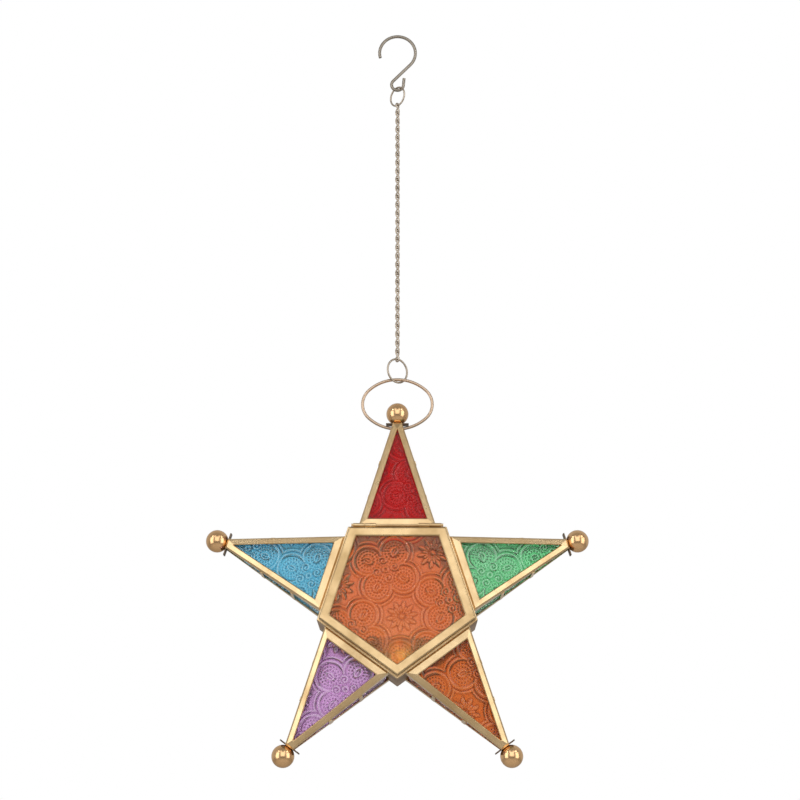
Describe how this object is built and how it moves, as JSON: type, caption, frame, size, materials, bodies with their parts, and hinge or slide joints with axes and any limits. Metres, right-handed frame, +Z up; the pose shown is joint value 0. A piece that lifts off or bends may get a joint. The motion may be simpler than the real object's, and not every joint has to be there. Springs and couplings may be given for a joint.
{
  "type": "star candle lantern",
  "caption": "Hanging star candle lantern of coloured pressed glass in folded brass frames, with a hinged pentagonal front door, oval handle, twisted chain and S-hook.",
  "frame": {"origin": "inside of the hook's bow, at its top, where it hangs on its support", "axes": "+Z up along the chain, -Y out of the door at the front, +X to the right as seen from the front"},
  "size_m": [0.2244, 0.055, 0.4523],
  "materials": {
    "brass_frame": "brushed pale brass sheet",
    "brass_bead": "polished brass",
    "brass_cup": "polished brass",
    "antique_brass": "dull antique brass wire",
    "glass_red": "pressed pattern glass",
    "glass_green": "pressed pattern glass",
    "glass_amber": "pressed pattern glass",
    "glass_purple": "pressed pattern glass",
    "glass_blue": "pressed pattern glass",
    "glass_orange": "pressed pattern glass"
  },
  "bodies": {
    "hook": {"hook": "antique_brass"},
    "upper_ring": {"upper_ring": "antique_brass"},
    "chain_1": {"chain_1": "antique_brass"},
    "chain_2": {"chain_2": "antique_brass"},
    "chain_3": {"chain_3": "antique_brass"},
    "chain_4": {"chain_4": "antique_brass"},
    "chain_5": {"chain_5": "antique_brass"},
    "chain_6": {"chain_6": "antique_brass"},
    "lower_ring": {"lower_ring": "antique_brass"},
    "handle": {"handle": "brass_frame"},
    "lantern": {"front_frame_top": "brass_frame", "back_frame_top": "brass_frame", "front_pane_top": "glass_red", "back_pane_top": "glass_red", "side_panes_top": "glass_red", "front_frame_right": "brass_frame", "back_frame_right": "brass_frame", "front_pane_right": "glass_green", "back_pane_right": "glass_green", "side_panes_right": "glass_green", "front_frame_lower_right": "brass_frame", "back_frame_lower_right": "brass_frame", "front_pane_lower_right": "glass_amber", "back_pane_lower_right": "glass_amber", "side_panes_lower_right": "glass_amber", "front_frame_lower_left": "brass_frame", "back_frame_lower_left": "brass_frame", "front_pane_lower_left": "glass_purple", "back_pane_lower_left": "glass_purple", "side_panes_lower_left": "glass_purple", "front_frame_left": "brass_frame", "back_frame_left": "brass_frame", "front_pane_left": "glass_blue", "back_pane_left": "glass_blue", "side_panes_left": "glass_blue", "side_straps": "brass_frame", "tip_plates": "brass_frame", "core_ring_front": "brass_frame", "core_ring_back": "brass_frame", "core_posts": "brass_frame", "centre_frame_back": "brass_frame", "pane_tabs_back": "brass_frame", "door_catches": "brass_frame", "hinge_barrels_fixed": "brass_frame", "hinge_pin": "brass_frame", "cup_bracket": "brass_frame", "tip_beads": "brass_bead", "candle_cup": "brass_cup", "centre_pane_back": "glass_orange"},
    "door": {"door_frame": "brass_frame", "door_pane": "glass_orange", "door_tabs": "brass_frame", "door_barrels": "brass_frame"}
  },
  "joints": [
    {"name": "hook_swing", "type": "hinge", "parent": "hook", "child": "upper_ring", "pos_m": [0, 0, -0.0353], "axis": [1, 0, 0], "range_deg": [-20, 20]},
    {"name": "ring_swing", "type": "hinge", "parent": "upper_ring", "child": "chain_1", "pos_m": [0, 0, -0.04545], "axis": [-0.7071, 0.7071, 0], "range_deg": [-40, 40]},
    {"name": "chain_bend_1", "type": "hinge", "parent": "chain_1", "child": "chain_2", "pos_m": [0, 0, -0.07165], "axis": [-0.7071, -0.7071, 0], "range_deg": [-30, 30]},
    {"name": "chain_bend_2", "type": "hinge", "parent": "chain_2", "child": "chain_3", "pos_m": [0, 0, -0.1004], "axis": [0.7071, -0.7071, 0], "range_deg": [-30, 30]},
    {"name": "chain_bend_3", "type": "hinge", "parent": "chain_3", "child": "chain_4", "pos_m": [0, 0, -0.12665], "axis": [0.7071, 0.7071, 0], "range_deg": [-30, 30]},
    {"name": "chain_bend_4", "type": "hinge", "parent": "chain_4", "child": "chain_5", "pos_m": [0, 0, -0.1554], "axis": [-0.7071, 0.7071, 0], "range_deg": [-30, 30]},
    {"name": "chain_bend_5", "type": "hinge", "parent": "chain_5", "child": "chain_6", "pos_m": [0, 0, -0.18165], "axis": [-0.7071, -0.7071, 0], "range_deg": [-30, 30]},
    {"name": "chain_end_swing", "type": "hinge", "parent": "chain_6", "child": "lower_ring", "pos_m": [0, 0, -0.2104], "axis": [0.7071, -0.7071, 0], "range_deg": [-25, 25]},
    {"name": "handle_top_swing", "type": "hinge", "parent": "lower_ring", "child": "handle", "pos_m": [0, 0, -0.2217], "axis": [-1, 0, 0], "range_deg": [-60, 60]},
    {"name": "lantern_swing", "type": "hinge", "parent": "handle", "child": "lantern", "pos_m": [0, 0, -0.2521], "axis": [1, 0, 0], "range_deg": [-60, 60]},
    {"name": "door_hinge", "type": "hinge", "parent": "lantern", "child": "door", "pos_m": [0, -0.02415, -0.3145], "axis": [-1, 0, 0], "range_deg": [0, 115]}
  ]
}
